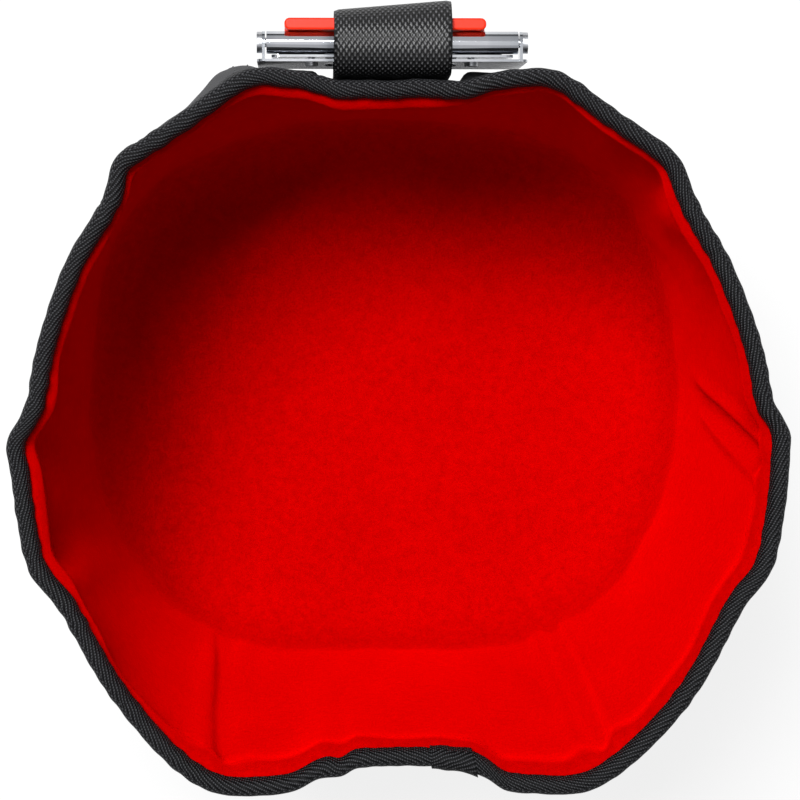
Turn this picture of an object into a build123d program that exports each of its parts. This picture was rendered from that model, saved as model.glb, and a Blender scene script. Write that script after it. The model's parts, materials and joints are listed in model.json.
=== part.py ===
from build123d import *
import math
import os

# Round soft-sided tool bucket. Millimetres, +Z up, +Y to the back, where the hanging clamp is.
# The origin is on the floor plane, on the bucket's axis.
os.makedirs("parts", exist_ok=True)

# ---------------------------------------------------------------- driving dimensions
# Bucket
rim_half_width = 161.5      # axis to the outside of the rim binding, left and right
rim_half_depth = 151.0      # axis to the outside of the rim binding, front and back
bucket_height = 285.0       # floor plane to the top of the rim binding
base_half_width = 153.0     # the base is a rounded oblong
base_half_depth = 138.7
base_squareness = 2.6       # superellipse exponent of the base
layer_gap = 0.2             # air between neighbouring layers

# Wall layers, outside to inside
binding_thickness = 1.0
binding_drop = 22.0         # how far the tape comes down on both faces of the wall
shell_thickness = 1.0
stiffener_thickness = 1.2
foam_thickness = 2.0
lining_thickness = 0.8

# Base layers, bottom to top
pan_thickness = 3.0
pan_wall = 2.2
pan_upstand = 13.5
pan_edge = 3.0              # bevel round the underside
board_thickness = 3.0
floor_foam_thickness = 5.0

# Base rivets
base_rivet_count = 6
base_rivet_spread = 0.72    # their circle, as a share of the base outline
base_rivet_shank = 2.0
base_rivet_head = 4.5
base_head_thickness = 1.0
rivet_clearance = 0.05

# Stiff panels
stiffener_low = 30.0
stiffener_below_rim = 12.0

# Overlap where the two ends of the rim binding meet
lap_start = 13.0            # right of the centre, at the front
lap_length = 19.0

# Outer pouches
pouch_low = 18.0
pouch_top = 126.0
pouch_fabric = 1.2
pouch_corner = 7.0
pouch_tape_drop = 9.0
pouch_tape_thickness = 1.0

# Webbing loop and its patch
hanger_x = -3.5             # the loop and clamp sit a little left of the centre
strap_width = 48.4
strap_thickness = 1.8
strap_join_drop = 34.0      # pivot axis to where the two plies part
strap_end_drop = 77.0       # pivot axis to the strap's lower end
seam_height = 0.4           # least height of the joined plies where they part
patch_thickness = 1.4
patch_margin = 1.2
patch_below_strap = 7.0
patch_below_binding = 2.0
loop_rivet_rise = 17.0      # strap's lower end to the rivets
loop_rivet_spacing = 28.0
loop_rivet_shank = 2.0
loop_rivet_head = 4.5
loop_head_thickness = 1.1
loop_flange_thickness = 0.8
flange_depth = 0.6          # loop rivets' inner flange behind the shell's inner face

# Hanging clamp
clamp_width = 112.0
clamp_drop = 50.0           # pivot axis to the lower edge of the jaws
pivot_below_rim = 13.0
shoulder_clearance = 3.0    # fixed jaw to the bag's outermost back
jaw_thickness = 1.0
barrel_radius = 4.7
pin_radius = 2.0
pin_head_radius = 4.4
running_clearance = 0.06    # bush to pin
press_clearance = 0.02      # pin to ear, bush to barrel
ear_thickness = 1.2
ear_inset = 2.2             # ear to the end of the fixed jaw
ear_radius = 4.6
end_play = 0.6              # barrel to ear
leaf_gap = 0.8              # fixed jaw to leaf plate
barrel_to_leaf = 0.4
plate_rise = 3.0            # jaws and leaf end this far above the pivot axis
loop_clearance = 0.7        # turning pieces to the webbing loop
window_margin = 3.3         # strap edge to the side of a window
window_depth = 22.5
jaw_corner = 5.4
bush_length = 10.0
spring_wire = 0.42
spring_length = 11.0
window_corner = 3.0
leaf_side_inset = 6.0       # leaf plate to the fixed jaw's outline
leaf_end_inset = 1.0
barrel_end_gap = 0.4        # jaw plate to the end of the barrel
pad_height = 12.0
pad_lift = 2.0              # jaw pads to the lower edge of the jaws
pad_corner = 2.0
pad_gap = 0.4               # closed jaw pads
pad_meeting = -1.2          # their meeting face, from the pivot axis
pad_inset = 8.0
release_wing_width = 10.1   # the narrower, right one
release_offset = -3.0       # its middle, from the middle of the clamp
release_thickness = 4.9
release_height = 12.0
release_wing_drop = 36.0
release_wing_thickness = 3.5
release_wing_gap = 1.0      # wing to the side of the window
release_wing_lap = 2.0      # wing into the bar
release_wing_corner = 3.0
release_corner = 2.2
release_edge = 0.9
grip_groove = 1.2
grip_groove_count = 3
grip_groove_first = 3.5     # from the wing's lower end
grip_groove_pitch = 2.6
clamp_rivet_shank = 1.5
clamp_rivet_head = 2.8
clamp_head_thickness = 0.8
clamp_rivet_side = 6.0      # side of a window to the rivets
leaf_rivet_drop = 15.0      # pivot axis to the rivets
pad_rivet_drop = 20.0

# ---------------------------------------------------------------- worked out from them
# Insets from the outside of the binding to the outside of each layer
shell_inset = binding_thickness + layer_gap
stiffener_inset = shell_inset + shell_thickness + layer_gap
foam_inset = stiffener_inset + stiffener_thickness + layer_gap
lining_inset = foam_inset + foam_thickness + layer_gap
inner_tape_inset = lining_inset + lining_thickness + layer_gap
wall_total = inner_tape_inset + binding_thickness

# Heights of the base layers' undersides, and of the wall layers' top edge
shell_low = pan_thickness + layer_gap
board_low = shell_low + shell_thickness + layer_gap
floor_foam_low = board_low + board_thickness + layer_gap
floor_lining_low = floor_foam_low + floor_foam_thickness + layer_gap
wall_top = bucket_height - binding_thickness - layer_gap

# Half of the rim's plan, back centre to front centre, as shares of the half width and half depth.
# Six straight panels stand proud and six soft ones fall back between them, the back one flat.
RIM_SHAPE = [
    (0.000, 0.969), (0.100, 0.969), (0.170, 0.970), (0.225, 0.988), (0.300, 1.000), (0.385, 1.000),
    (0.500, 0.928), (0.640, 0.823), (0.716, 0.752), (0.742, 0.686), (0.785, 0.588), (0.832, 0.505),
    (0.870, 0.418), (0.922, 0.268), (0.946, 0.165), (0.962, 0.080), (0.990, 0.012), (1.000, -0.095),
    (0.980, -0.275), (0.944, -0.398), (0.897, -0.458), (0.855, -0.535), (0.774, -0.700),
    (0.662, -0.852), (0.572, -0.940), (0.480, -0.993), (0.365, -1.000), (0.270, -0.985),
    (0.195, -0.942), (0.110, -0.922), (0.000, -0.9185),
]
back_y = RIM_SHAPE[0][1] * rim_half_depth
base_centre_y = back_y - base_half_depth        # keeps the back wall upright

# Right-hand proud panels, from one compass direction to another; the left ones mirror them
PROUD_PANELS = {"back": (45.5, 66.5), "side": (-21.5, -0.5), "front": (-73.0, -63.0)}

# Pouches on the soft panels: direction they face, width, how far they stand off the wall
POUCHES = {
    "front_right": (-35.0, 72.0, 13.0),
    "front": (-90.0, 54.0, 14.0),
    "front_left": (-145.0, 72.0, 13.0),
}


# ---------------------------------------------------------------- the wall's plan
def base_point(angle):
    """Point of the base outline in the given direction from the base's centre."""
    across = abs(math.cos(angle) / base_half_width) ** base_squareness
    along = abs(math.sin(angle) / base_half_depth) ** base_squareness
    reach = (across + along) ** (-1 / base_squareness)
    return Vector(reach * math.cos(angle), base_centre_y + reach * math.sin(angle))


def plan_points(height, inset):
    """The wall's plan at one height, moved in towards the axis by inset."""
    left_half = [(-across, along) for across, along in reversed(RIM_SHAPE[1:-1])]
    points = []
    for across, along in RIM_SHAPE + left_half:
        rim = Vector(across * rim_half_width, along * rim_half_depth)
        base = base_point(math.atan2(rim.Y, rim.X))
        point = base + (rim - base) * (height / bucket_height)
        point = point * (1 - inset / point.length)
        points.append(Vector(point.X, point.Y, height))
    return points


def plan_block(*levels):
    """Solid inside the wall's plan through the given (height, inset) levels, ruled between them."""
    rings = [Wire([Edge.make_spline(plan_points(*level), periodic=True)]) for level in levels]
    return Solid.make_loft(rings, True)


def wall_layer(inset, thickness, low, high):
    """One closed band of the wall."""
    outside = plan_block((low, inset), (high, inset))
    inside = plan_block((low - 1, inset + thickness), (high + 1, inset + thickness))
    return outside - inside


def folded_tape(outer_inset, top, thickness):
    """Tape folded over the rim: two legs and a top."""
    low = top - binding_drop
    outside = plan_block((low, outer_inset), (top, outer_inset))
    leg_inset = outer_inset + thickness
    middle = wall_layer(leg_inset, wall_total - 2 * leg_inset, low - 1, top - thickness)
    hollow_inset = wall_total - outer_inset
    hollow = plan_block((low - 1, hollow_inset), (top + 1, hollow_inset))
    return outside - middle - hollow


def sector(start, end):
    """Upright wedge from the axis between two compass directions, in degrees."""
    far = 3 * rim_half_width
    corners = [(0, 0)]
    for angle in (start, end):
        corners.append((far * math.cos(math.radians(angle)), far * math.sin(math.radians(angle))))
    return extrude(make_face(Polyline(*corners, close=True)), bucket_height)


# ---------------------------------------------------------------- base and wall
def base_rivet_places():
    """Centres of the base rivets."""
    places = []
    for number in range(base_rivet_count):
        point = base_point(2 * math.pi * (number + 0.5) / base_rivet_count)
        places.append(Pos(point.X * base_rivet_spread, point.Y * base_rivet_spread))
    return places


def make_base():
    """Pan, board, foam and rivets, each resting on the one below."""
    pan_inset = shell_inset - layer_gap
    pan = plan_block((0, pan_inset - pan_wall + pan_edge), (pan_edge, pan_inset - pan_wall),
                     (pan_upstand, pan_inset - pan_wall))
    pan -= plan_block((pan_thickness, pan_inset), (pan_upstand + 1, pan_inset))
    board = plan_block((board_low, stiffener_inset), (board_low + board_thickness, stiffener_inset))
    foam_top = floor_foam_low + floor_foam_thickness
    foam = plan_block((floor_foam_low, lining_inset), (foam_top, lining_inset))
    lining_top = floor_lining_low + lining_thickness
    lining = plan_block((floor_lining_low, inner_tape_inset), (lining_top, inner_tape_inset))

    recess = base_head_thickness + 2 * layer_gap
    shank_low = recess - base_head_thickness
    head_low = board_low + board_thickness + rivet_clearance
    head_top = head_low + base_head_thickness
    rivet = Pos(0, 0, shank_low) * Cylinder(base_rivet_head, base_head_thickness, align=UPRIGHT)
    rivet += Pos(0, 0, shank_low) * Cylinder(base_rivet_shank, head_top - shank_low, align=UPRIGHT)
    rivet += Pos(0, 0, head_low) * Cylinder(base_rivet_head, base_head_thickness, align=UPRIGHT)
    hole = Cylinder(base_rivet_shank + rivet_clearance, head_low, align=UPRIGHT)
    hole += Cylinder(base_rivet_head + layer_gap, recess, align=UPRIGHT)
    relief = Cylinder(base_rivet_head + layer_gap, head_top + layer_gap, align=UPRIGHT)
    rivets = []
    for place in base_rivet_places():
        rivets.append(place * rivet)
        pan -= place * hole
        board -= place * hole
        foam -= place * relief
    return {"base_pan": pan, "base_board": board, "floor_foam": foam, "floor_lining": lining,
            "base_rivets": Compound(children=rivets)}


def make_shell():
    """Outer fabric with its own bottom, open at the top."""
    shell = plan_block((shell_low, shell_inset), (wall_top, shell_inset))
    inner = shell_inset + shell_thickness
    shell -= plan_block((shell_low + shell_thickness, inner), (wall_top + 1, inner))
    for place in base_rivet_places():
        shell -= place * Cylinder(base_rivet_shank + rivet_clearance, board_low, align=UPRIGHT)
    return shell - loop_rivet_holes()


def make_wall():
    """Foam, lining, stiff panels, rim binding and its lap."""
    foam = wall_layer(foam_inset, foam_thickness, floor_foam_low, wall_top)
    nodes = {
        "wall_foam": foam - loop_rivet_reliefs(),
        "wall_lining": wall_layer(lining_inset, lining_thickness, floor_lining_low, wall_top),
        "rim_binding": folded_tape(0, bucket_height, binding_thickness),
    }
    panel_top = bucket_height - stiffener_below_rim
    panels = wall_layer(stiffener_inset, stiffener_thickness, stiffener_low, panel_top)
    for name, (start, end) in PROUD_PANELS.items():
        nodes[f"stiffener_{name}_right"] = panels & sector(start, end)
        nodes[f"stiffener_{name}_left"] = panels & sector(180 - end, 180 - start)
    lap_top = bucket_height + layer_gap + binding_thickness
    lap = folded_tape(-layer_gap - binding_thickness, lap_top, binding_thickness)
    piece = Pos(lap_start + lap_length / 2, -rim_half_depth) * Box(lap_length, rim_half_depth, 4 * lap_top)
    nodes["binding_lap"] = lap & piece
    return nodes


# ---------------------------------------------------------------- outer pouches
def pouch_block(direction, half_width, reach, low, high):
    """Upright block from inside the wall out to a flat face, with rounded upright edges."""
    start = reach / 2
    plan = RectangleRounded(reach - start, 2 * half_width, pouch_corner)
    return Rot(0, 0, direction) * Pos((reach + start) / 2, 0, low) * extrude(plan, high - low)


def wall_reach(direction, half_width, height):
    """How far out the wall stands in a direction, within a strip as wide as a pouch."""
    outward = Vector(1, 0).rotate(Axis.Z, direction)
    sideways = Vector(0, 1).rotate(Axis.Z, direction)
    points = [Vector(point.X, point.Y) for point in plan_points(height, shell_inset)]
    strip = [p for p in points if abs(p.dot(sideways)) < half_width and p.dot(outward) > 0]
    return max(point.dot(outward) for point in strip)


def make_pouches():
    """Open-topped pouches with a taped mouth; the bucket's own wall is their back."""
    nodes = {}
    keep_out = plan_block((0, shell_inset - 1.5 * layer_gap),
                          (bucket_height, shell_inset - 1.5 * layer_gap))
    for name, (direction, width, stand_off) in POUCHES.items():
        half = width / 2
        reach = wall_reach(direction, half, (pouch_low + pouch_top) / 2) + stand_off

        def block(growth, low, high):
            return pouch_block(direction, half + growth, reach + growth, low, high)

        inner = -pouch_fabric
        pouch = block(0, pouch_low, pouch_top)
        pouch -= block(inner, pouch_low + pouch_fabric, pouch_top + 1)
        nodes[f"pocket_{name}"] = pouch - keep_out

        low = pouch_top - pouch_tape_drop
        outer = layer_gap + pouch_tape_thickness
        tape = block(outer, low, pouch_top + outer)
        tape -= block(layer_gap, low - 1, pouch_top + layer_gap) - block(inner - layer_gap, low - 1,
                                                                         pouch_top + 1)
        tape -= block(inner - outer, low - 1, pouch_top + outer + 1)
        nodes[f"pocket_binding_{name}"] = tape - keep_out
    return nodes


# ---------------------------------------------------------------- webbing loop at the back
UPRIGHT = (Align.CENTER, Align.CENTER, Align.MIN)
patch_outside = back_y + layer_gap
strap_inside = patch_outside + layer_gap
strap_outside = strap_inside + 2 * strap_thickness + layer_gap
barrel_bore = barrel_radius - jaw_thickness
leaf_inside = -barrel_radius - barrel_to_leaf
leaf_outside = leaf_inside - jaw_thickness
fixed_inside = leaf_outside - leaf_gap
fixed_outside = fixed_inside - jaw_thickness
pivot_y = rim_half_depth + shoulder_clearance - fixed_outside
pivot_z = bucket_height - pivot_below_rim
strap_join = pivot_z - strap_join_drop
strap_end = pivot_z - strap_end_drop
patch_low = strap_end - patch_below_strap
patch_top = bucket_height - binding_drop - patch_below_binding
loop_rivet_height = strap_end + loop_rivet_rise
loop_flange_y = back_y - shell_inset - shell_thickness - flange_depth - loop_flange_thickness
release_front = barrel_radius + layer_gap
release_back = release_front + release_thickness
turning_radius = math.hypot(release_back, release_height / 2)
loop_radius = turning_radius + loop_clearance
pivot = Pos(hanger_x, pivot_y, pivot_z)


def loop_rivet_places():
    """Both rivets of the loop, with Z pointing to the back."""
    side = loop_rivet_spacing / 2
    return [Pos(hanger_x + x, 0, loop_rivet_height) * Rot(-90, 0, 0) for x in (-side, side)]


def loop_rivet_holes():
    """Holes through shell, patch and strap."""
    hole = Pos(0, 0, back_y) * Cylinder(loop_rivet_shank + rivet_clearance, 30)
    return Compound(children=[place * hole for place in loop_rivet_places()])


def loop_rivet_reliefs():
    """Room in the wall foam for the rivets' inner flanges."""
    depth = loop_flange_thickness + 2 * layer_gap
    relief = Pos(0, 0, loop_flange_y) * Cylinder(loop_rivet_head + layer_gap, depth + 2 * foam_thickness)
    return Compound(children=[place * relief for place in loop_rivet_places()])


def make_loop():
    """Webbing folded into a loop round the clamp, its patch and its rivets."""
    def side_view(radius, low, high):
        circle = Pos(pivot_y, pivot_z) * Circle(radius)
        foot = Pos((low + high) / 2, strap_join) * Rectangle(high - low, seam_height)
        return make_hull(circle.edges() + foot.edges())

    middle = (strap_inside + strap_outside) / 2
    profile = side_view(loop_radius + strap_thickness, strap_inside, strap_outside)
    tail = strap_outside - strap_inside
    profile += Pos(middle, (strap_join + strap_end) / 2) * Rectangle(tail, strap_join - strap_end)
    profile -= side_view(loop_radius, middle - layer_gap, middle + layer_gap)
    across = Plane(origin=(hanger_x - strap_width / 2, 0, 0), x_dir=(0, 1, 0), z_dir=(1, 0, 0))
    strap = extrude(across * profile, strap_width) - loop_rivet_holes()

    patch_width = strap_width + 2 * patch_margin
    patch_middle = (patch_low + patch_top) / 2
    patch = Pos(hanger_x, patch_outside - 2 * patch_thickness, patch_middle) * Box(
        patch_width, 4 * patch_thickness, patch_top - patch_low)
    patch -= plan_block((0, shell_inset - layer_gap), (bucket_height, shell_inset - layer_gap))
    patch -= loop_rivet_holes()

    flange = loop_flange_y
    head = strap_outside + rivet_clearance
    rivet = Pos(0, 0, flange) * Cylinder(loop_rivet_head, loop_flange_thickness, align=UPRIGHT)
    rivet += Pos(0, 0, flange) * Cylinder(loop_rivet_shank, head - flange, align=UPRIGHT)
    rivet += Pos(0, 0, head) * Cylinder(loop_rivet_head, loop_head_thickness, align=UPRIGHT)
    rivets = Compound(children=[place * rivet for place in loop_rivet_places()])
    return {"loop_strap": strap, "back_patch": patch, "loop_rivets": rivets}


# ---------------------------------------------------------------- hanging clamp, about its pivot
window_half = strap_width / 2 + window_margin
ear_outside = clamp_width / 2 - ear_inset
barrel_half = ear_outside - ear_thickness - end_play
bush_start = barrel_half - bush_length
release_width = 2 * (window_half + release_wing_gap + release_wing_width - release_offset)
clamp_rivet_x = window_half + clamp_rivet_side
plate_half = barrel_half - barrel_end_gap
window_top = -math.sqrt(turning_radius ** 2 - fixed_outside ** 2)     # plates above it turn in the loop
window_low = window_top - window_depth
pad_low = -clamp_drop + pad_lift
pad_high = pad_low + pad_height


def block(half_width, back, front, low, high, corner=0.0):
    """Plate across the clamp, from y=back to y=front and z=low to z=high."""
    if corner:
        outline = RectangleRounded(2 * half_width, high - low, corner)
    else:
        outline = Rectangle(2 * half_width, high - low)
    face = Plane(origin=(0, back, (low + high) / 2), x_dir=(1, 0, 0), z_dir=(0, 1, 0))
    return extrude(face * outline, front - back)


def rod(radius, start, end):
    """Round bar along the pivot axis."""
    return Pos((start + end) / 2, 0, 0) * Rot(0, 90, 0) * Cylinder(radius, end - start)


def both_sides(piece):
    """A piece on the right and its mirror image on the left."""
    return [piece, mirror(piece, Plane.YZ)]


def clamp_rivet(height, inner, outer):
    """Rivet along y at the right of the clamp, with its heads outside inner and outer."""
    place = Pos(clamp_rivet_x, 0, height) * Rot(-90, 0, 0)
    start = inner - clamp_head_thickness
    rivet = Pos(0, 0, start) * Cylinder(clamp_rivet_head, clamp_head_thickness, align=UPRIGHT)
    rivet += Pos(0, 0, start) * Cylinder(clamp_rivet_shank, outer - start, align=UPRIGHT)
    rivet += Pos(0, 0, outer) * Cylinder(clamp_rivet_head, clamp_head_thickness, align=UPRIGHT)
    return place * rivet


def clamp_holes(height):
    """Holes for a pair of clamp rivets."""
    place = Pos(clamp_rivet_x, 0, height) * Rot(-90, 0, 0)
    return both_sides(place * Cylinder(clamp_rivet_shank + rivet_clearance, 4 * barrel_radius))


def make_fixed_jaw():
    """Bag-side half of the clamp, with the pin and the springs."""
    window = block(window_half, fixed_outside - 1, leaf_inside + 1, window_low, window_top, window_corner)
    jaw = block(clamp_width / 2, fixed_outside, fixed_inside, -clamp_drop, plate_rise, plate_rise)
    ear_start = ear_outside - ear_thickness
    web = Pos(ear_start, fixed_outside, -ear_radius) * Box(
        ear_thickness, -fixed_outside, 2 * ear_radius, align=(Align.MIN, Align.MIN, Align.MIN))
    ear = web + rod(ear_radius, ear_start, ear_outside)
    ear -= rod(pin_radius + press_clearance, ear_start - 1, ear_outside + 1)
    for side in both_sides(ear):
        jaw += side
    leaf = block(clamp_width / 2 - leaf_side_inset, leaf_outside, leaf_inside,
                 -clamp_drop + leaf_end_inset, plate_rise, plate_rise)
    for plate_hole in clamp_holes(-leaf_rivet_drop):
        jaw -= plate_hole
        leaf -= plate_hole
    pin = rod(pin_radius, -ear_outside - end_play, ear_outside + end_play)
    head = rod(pin_head_radius, ear_outside + rivet_clearance, clamp_width / 2)
    for side in both_sides(head):
        pin += side
    pad = block(clamp_width / 2 - pad_inset, leaf_inside + rivet_clearance, pad_meeting,
                pad_low, pad_high, pad_corner)
    rivet = clamp_rivet(-leaf_rivet_drop, fixed_outside - rivet_clearance, leaf_inside + rivet_clearance)
    return {
        "fixed_jaw": jaw - window,
        "leaf_plate": leaf - window,
        "pivot_pin": pin,
        "torsion_springs": make_springs(),
        "fixed_jaw_pad": pad,
        "leaf_rivets": Compound(children=both_sides(rivet)),
    }


def make_springs():
    """Two coils inside the barrel, round the pin."""
    coil_radius = (barrel_bore + pin_radius) / 2
    pitch = 2.3 * spring_wire
    path = Helix(pitch, spring_length, coil_radius)
    coil = sweep(Plane(path @ 0, z_dir=path % 0) * Circle(spring_wire), path)
    start = bush_start - spring_length - 2 * spring_wire - end_play
    return Compound(children=both_sides(Pos(start, 0, 0) * Rot(0, 90, 0) * coil))


def make_wing(width):
    """One grooved finger wing of the release pad."""
    back = release_front + release_wing_thickness
    wing = block(width / 2, release_front, back, -release_wing_drop,
                 -release_height / 2 + release_wing_lap, release_wing_corner)
    for step in range(grip_groove_count):
        groove_z = -release_wing_drop + grip_groove_first + grip_groove_pitch * step
        wing -= Pos(0, back, groove_z) * Box(width, grip_groove, grip_groove)
    return wing


def make_moving_jaw():
    """Outer half of the clamp: barrel, plate, bushes, release pad and jaw pad."""
    jaw = rod(barrel_radius, -barrel_half, barrel_half)
    jaw += block(plate_half, barrel_bore, barrel_radius, -clamp_drop, 0, jaw_corner)
    jaw += block(plate_half, barrel_bore, barrel_radius, -2 * jaw_corner, 0)
    jaw -= rod(barrel_bore, -barrel_half - 1, barrel_half + 1)
    jaw -= block(window_half, barrel_bore - 1, barrel_radius + 1, window_low, window_top, window_corner)

    bush = rod(barrel_bore - press_clearance, bush_start, barrel_half)
    bush -= rod(pin_radius + running_clearance, bush_start - 1, barrel_half + 1)

    bar = extrude(Pos(release_offset, (release_front + release_back) / 2) * RectangleRounded(
        release_width, release_thickness, release_corner), release_height / 2, both=True)
    bar = fillet(bar.edges().group_by(Axis.Z)[-1] + bar.edges().group_by(Axis.Z)[0], release_edge)
    wing_start = window_half + release_wing_gap
    for side in (-1, 1):
        wing_end = release_width / 2 + side * release_offset
        wing_middle = side * (wing_start + wing_end) / 2
        bar += Pos(wing_middle, 0, 0) * make_wing(wing_end - wing_start)
    for hole in clamp_holes(-pad_rivet_drop):
        jaw -= hole
        bar -= hole
    rivet = clamp_rivet(-pad_rivet_drop, barrel_bore - rivet_clearance,
                        release_front + release_wing_thickness + rivet_clearance)
    pad = block(clamp_width / 2 - pad_inset, pad_meeting + pad_gap, barrel_bore - rivet_clearance,
                pad_low, pad_high, pad_corner)
    return {
        "moving_jaw": jaw,
        "pivot_bushes": Compound(children=both_sides(bush)),
        "release_pad": bar,
        "pad_rivets": Compound(children=both_sides(rivet)),
        "moving_jaw_pad": pad,
    }


# ---------------------------------------------------------------- write every node
nodes = make_base()
nodes["outer_shell"] = make_shell()
nodes.update(make_wall())
nodes.update(make_pouches())
nodes.update(make_loop())
for name, piece in {**make_fixed_jaw(), **make_moving_jaw()}.items():
    nodes[name] = pivot * piece
for name, piece in nodes.items():
    export_step(piece, f"parts/{name}.step")
print(len(nodes), "nodes; pivot", round(pivot_y, 2), round(pivot_z, 2), "loop radius", round(loop_radius, 2))
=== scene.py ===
import json
import math

import bpy
import numpy as np
from mathutils import Matrix, Vector
from mathutils.bvhtree import BVHTree


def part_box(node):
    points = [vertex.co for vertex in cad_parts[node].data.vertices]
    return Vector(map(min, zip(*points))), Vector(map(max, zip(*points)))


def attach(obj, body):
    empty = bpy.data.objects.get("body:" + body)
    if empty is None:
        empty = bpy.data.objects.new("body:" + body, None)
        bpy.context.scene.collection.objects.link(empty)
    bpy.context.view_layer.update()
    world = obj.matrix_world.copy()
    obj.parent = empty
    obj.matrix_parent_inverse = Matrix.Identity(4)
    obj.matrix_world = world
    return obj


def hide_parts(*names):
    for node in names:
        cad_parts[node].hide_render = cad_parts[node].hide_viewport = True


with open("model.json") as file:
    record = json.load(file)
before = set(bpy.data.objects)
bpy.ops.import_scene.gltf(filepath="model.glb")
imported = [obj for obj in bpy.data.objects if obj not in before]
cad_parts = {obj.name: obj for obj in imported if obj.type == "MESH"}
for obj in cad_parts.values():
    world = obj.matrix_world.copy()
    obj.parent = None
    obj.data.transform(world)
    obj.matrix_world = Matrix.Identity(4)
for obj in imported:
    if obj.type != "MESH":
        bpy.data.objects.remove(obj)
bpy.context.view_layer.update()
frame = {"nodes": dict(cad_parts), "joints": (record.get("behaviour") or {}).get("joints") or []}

# Metres throughout, in the CAD frame: the axis of the bucket is Z, +Y is the back with the clamp.
MM = 0.001
RIM_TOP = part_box("rim_binding")[1].z
TAPE_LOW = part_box("rim_binding")[0].z
FLOOR_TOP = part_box("floor_lining")[1].z
PIVOT = Vector(frame["joints"][0]["pos_m"])
SHELL_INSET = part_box("rim_binding")[1].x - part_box("outer_shell")[1].x

# Insets are measured inwards from the outside of the rim tape.
LINING_INSET = 6.8 * MM                # the lining's visible side
WALL_TOTAL = 8.0 * MM                  # the whole wall under the tape
INNER_LEG = 6.5 * MM                   # how far the tape comes down inside the wall
OUTER_LEG = 22 * MM                    # and outside it
TAPE_THICKNESS = 0.9 * MM
FOAM_OUTER_INSET = 3.9 * MM            # the padding starts behind the stiff panels
LINING_FABRIC = 0.8 * MM
SHELL_FABRIC = 0.9 * MM
POUCH_FABRIC = 1.1 * MM
PATCH_FABRIC = 1.2 * MM
WEBBING_THICKNESS = 1.7 * MM

# Mean radii that turn an angle round the wall into a distance along it
LINING_RADIUS = 0.14
SHELL_RADIUS = 0.15

# Directions from the axis, in degrees
RIGHT_SEAMS = (66.5, 45.5, -0.5, -21.5, -63.0, -73.0)
SEAMS = RIGHT_SEAMS + tuple(180 - degrees for degrees in RIGHT_SEAMS)
POUCHES = {"front_right": -35.0, "front": -90.0, "front_left": -145.0}

STITCH_LENGTH = 3.2 * MM
STITCH_GAP = 1.3 * MM
STITCH_RADIUS = 0.36 * MM
STITCH_SIDES = 6
STITCH_SINK = 0.9                      # its ends lie this share of the radius deeper than its middle
STITCH_FLATNESS = 1.15                 # width over height
# Place along a stitch from its middle, and its fullness there
STITCH_SWELL = ((-0.5, 0.15), (-0.38, 0.85), (0.0, 1.0), (0.38, 0.85), (0.5, 0.15))


# ------------------------------------------------------------------ meshes
def surface(name, points, columns_close=False, rows_close=False, apex=None, caps=False):
    """Mesh over a grid of points, with a UV map in metres along its rows and columns."""
    rows, columns = points.shape[:2]
    wide = np.concatenate([points, points[:, :1]], 1) if columns_close else points
    full = np.concatenate([wide, wide[:1]], 0) if rows_close else wide
    along = np.concatenate([[0], np.cumsum(np.linalg.norm(np.diff(full, axis=0), axis=2).mean(1))])
    across = np.concatenate([[0], np.cumsum(np.linalg.norm(np.diff(full, axis=1), axis=2).mean(0))])
    faces, uvs = [], []
    for i in range(full.shape[0] - 1):
        below = ((i + 1) % rows) * columns
        for j in range(full.shape[1] - 1):
            right = (j + 1) % columns
            faces.append((i * columns + j, i * columns + right, below + right, below + j))
            uvs += [(across[j], along[i]), (across[j + 1], along[i]),
                    (across[j + 1], along[i + 1]), (across[j], along[i + 1])]
    vertices = [tuple(p) for p in points.reshape(-1, 3)]
    if apex is not None:
        vertices.append(tuple(apex))
        last = (rows - 1) * columns
        for j in range(columns):
            faces.append((last + j, last + (j + 1) % columns, len(vertices) - 1))
            uvs += [(0, 0), (0, 0), (0, 0)]
    if caps:
        faces.append(tuple(range(columns))[::-1])
        faces.append(tuple(range((rows - 1) * columns, rows * columns)))
        uvs += [(0, 0)] * (2 * columns)
    return make_mesh(name, vertices, faces, uvs)


def make_mesh(name, vertices, faces, uvs=None):
    """Object with a smooth-shaded mesh."""
    mesh = bpy.data.meshes.new(name)
    mesh.from_pydata(vertices, [], faces)
    if uvs:
        layer = mesh.uv_layers.new(name="Threads")
        layer.data.foreach_set("uv", np.array(uvs, np.float32).ravel())
    mesh.polygons.foreach_set("use_smooth", [True] * len(mesh.polygons))
    mesh.update()
    piece = bpy.data.objects.new(name, mesh)
    bpy.context.scene.collection.objects.link(piece)
    return piece


def dress(piece, material, replaced=()):
    """Gives a piece its material, puts it on the bag and hides the CAD nodes it stands for."""
    piece.data.materials.clear()
    piece.data.materials.append(material)
    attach(piece, "bag")
    if replaced:
        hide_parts(*replaced)


def thicken(piece, thickness):
    """Gives an open surface its thickness, away from its visible side."""
    solid = piece.modifiers.new("thickness", "SOLIDIFY")
    solid.thickness = thickness
    solid.offset = -1.0
    return piece


def stitches(name, runs):
    """Rows of thread stitches. Each run is (points, outward normals) along a line."""
    vertices, faces = [], []
    for points, normals in runs:
        points, normals = np.asarray(points, float), np.asarray(normals, float)
        distance = np.concatenate([[0], np.cumsum(np.linalg.norm(np.diff(points, axis=0), axis=1))])
        for number in range(int(distance[-1] / (STITCH_LENGTH + STITCH_GAP))):
            start = number * (STITCH_LENGTH + STITCH_GAP) + STITCH_GAP / 2
            ends = [np.array([np.interp(start + part, distance, points[:, k]) for k in range(3)])
                    for part in (0, STITCH_LENGTH)]
            normal = np.array([np.interp(start, distance, normals[:, k]) for k in range(3)])
            add_stitch(vertices, faces, ends, normal)
    dress(make_mesh(name, vertices, faces), THREAD)


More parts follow.
